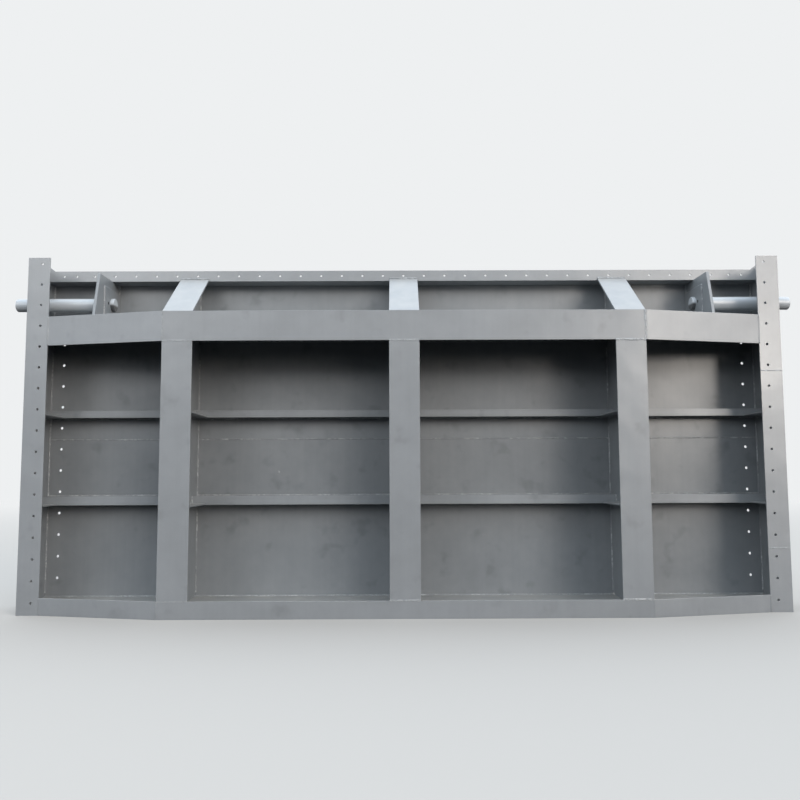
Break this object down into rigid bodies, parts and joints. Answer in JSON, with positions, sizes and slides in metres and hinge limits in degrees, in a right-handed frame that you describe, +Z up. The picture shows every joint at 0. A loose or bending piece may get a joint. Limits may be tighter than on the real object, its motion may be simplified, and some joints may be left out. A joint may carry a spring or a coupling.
{
  "type": "steel sluice gate leaf",
  "caption": "Welded steel gate leaf: flat skin plate on horizontal beams, vertical girders and ribs, with bolted seal edges and lifting shafts at both ends.",
  "frame": {"origin": "middle of the width and depth of the leaf, at the level of its bottom edge", "axes": "+X along the leaf to the right seen from the girder side, +Y from the flanges to the skin, +Z up"},
  "size_m": [5.77, 0.64, 2.53],
  "materials": {
    "skin_paint": "semi-matte grey anti-corrosion paint",
    "frame_paint": "semi-matte grey anti-corrosion paint",
    "flange_paint": "semi-matte grey anti-corrosion paint",
    "shaft_paint": "semi-matte grey paint on a turned shaft"
  },
  "bodies": {
    "root": {"skin_lower_plate": "skin_paint", "skin_upper_plate": "skin_paint", "lower_beam_web": "frame_paint", "upper_beam_web": "frame_paint", "lower_flange_centre": "flange_paint", "lower_flange_left": "flange_paint", "lower_flange_right": "flange_paint", "upper_flange_centre": "flange_paint", "upper_flange_left": "flange_paint", "upper_flange_right": "flange_paint", "left_girder_web": "frame_paint", "centre_girder_web": "frame_paint", "right_girder_web": "frame_paint", "left_girder_flange": "flange_paint", "centre_girder_flange": "flange_paint", "right_girder_flange": "flange_paint", "left_girder_top_flange": "flange_paint", "centre_girder_top_flange": "flange_paint", "right_girder_top_flange": "flange_paint", "left_end_web": "frame_paint", "right_end_web": "frame_paint", "left_side_strip": "flange_paint", "right_side_strip": "flange_paint", "top_seal_plate": "flange_paint", "top_cover_plate": "flange_paint", "lower_rib_far_left": "frame_paint", "lower_rib_mid_left": "frame_paint", "lower_rib_mid_right": "frame_paint", "lower_rib_far_right": "frame_paint", "upper_rib_far_left": "frame_paint", "upper_rib_mid_left": "frame_paint", "upper_rib_mid_right": "frame_paint", "upper_rib_far_right": "frame_paint", "left_girder_stiffeners": "frame_paint", "centre_girder_stiffeners": "frame_paint", "right_girder_stiffeners": "frame_paint", "left_end_stiffeners": "frame_paint", "right_end_stiffeners": "frame_paint", "left_lug_plate": "frame_paint", "right_lug_plate": "frame_paint", "left_lug_cheek": "frame_paint", "right_lug_cheek": "frame_paint", "left_lifting_shaft": "shaft_paint", "right_lifting_shaft": "shaft_paint"}
  },
  "joints": []
}
